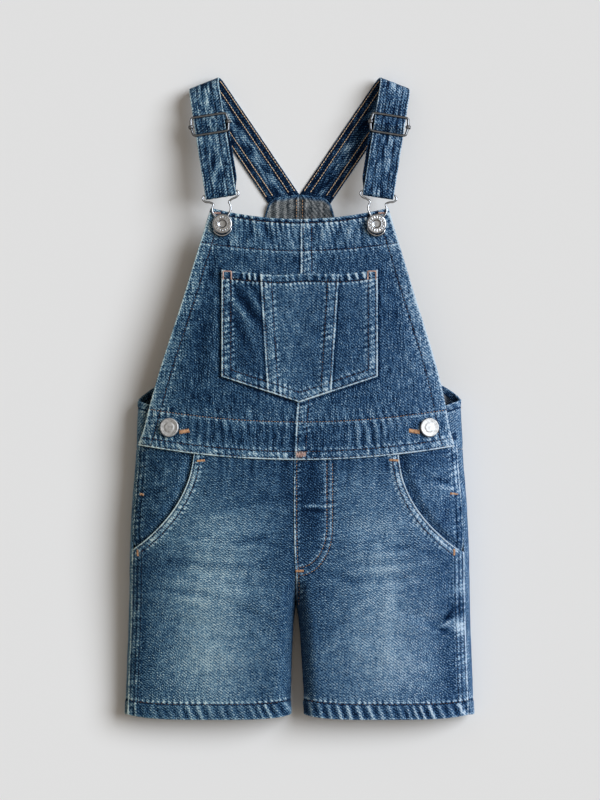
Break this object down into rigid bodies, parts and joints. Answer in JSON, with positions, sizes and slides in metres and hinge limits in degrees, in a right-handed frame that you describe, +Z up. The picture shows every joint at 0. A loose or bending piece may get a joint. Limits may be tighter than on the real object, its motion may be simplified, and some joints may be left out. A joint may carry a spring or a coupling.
{
  "type": "kids dungarees",
  "caption": "Child's denim dungarees with short legs, pointed bib pocket, hip pockets and hooked shoulder straps, laid flat on their back and hollow inside.",
  "frame": {"origin": "on the surface that the garment lies on, under the middle of its outline", "axes": "+Y from the leg hems to the shoulder straps, +X towards the wearer's left, +Z up out of the front"},
  "size_m": [0.3048, 0.5618, 0.052],
  "materials": {
    "denim": "blue washed denim, lighter on the thighs, orange-brown topstitching, whitish worn seam edges",
    "pocket_denim": "same blue washed denim, on pocket pieces",
    "strap_denim": "same denim, folded double, roped and worn at the edges",
    "nickel": "bright nickel, lightly scratched",
    "dark_nickel": "dark nickel wire"
  },
  "bodies": {
    "root": {"back_bib_left": "denim", "back_bib_right": "denim", "back_leg_left": "denim", "back_leg_right": "denim", "bib_button_left": "nickel", "bib_button_right": "nickel", "bib_left": "denim", "bib_pocket_centre": "pocket_denim", "bib_pocket_left": "pocket_denim", "bib_pocket_right": "pocket_denim", "bib_right": "denim", "front_leg_left": "denim", "front_leg_right": "denim", "hip_facing_left": "pocket_denim", "hip_facing_right": "pocket_denim", "hook_left": "nickel", "hook_right": "nickel", "slider_left": "dark_nickel", "slider_right": "dark_nickel", "strap_left": "strap_denim", "strap_right": "strap_denim", "waist_button_left": "nickel", "waist_button_right": "nickel"}
  },
  "joints": []
}
